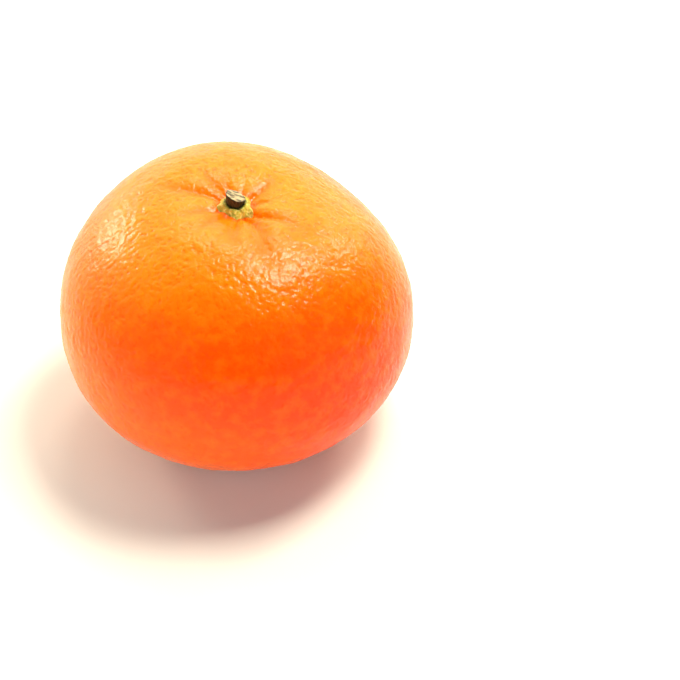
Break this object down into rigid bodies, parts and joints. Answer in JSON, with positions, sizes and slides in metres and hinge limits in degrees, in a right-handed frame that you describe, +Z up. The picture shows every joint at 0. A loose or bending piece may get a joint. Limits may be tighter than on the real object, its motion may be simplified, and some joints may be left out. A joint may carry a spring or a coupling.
{
  "type": "mandarin orange",
  "caption": "Whole loose-skinned mandarin orange with a puckered crown, star-shaped calyx and a short cut stem, resting on the flat of its blossom end.",
  "frame": {"origin": "under the middle of the fruit's bounding box, on the surface that it rests on", "axes": "+Z up along the core towards the stem; -Y towards the viewer, with the flatter shoulder at the right and back"},
  "size_m": [0.065, 0.0652, 0.0515],
  "materials": {
    "rind": "waxy orange peel, pebbled with oil glands, semi-gloss",
    "calyx": "fleshy yellow-green, matt",
    "stem": "dark olive-brown bark with a pale, freshly cut end"
  },
  "bodies": {
    "root": {"fruit": "rind", "calyx": "calyx", "stem_stub": "stem"}
  },
  "joints": []
}
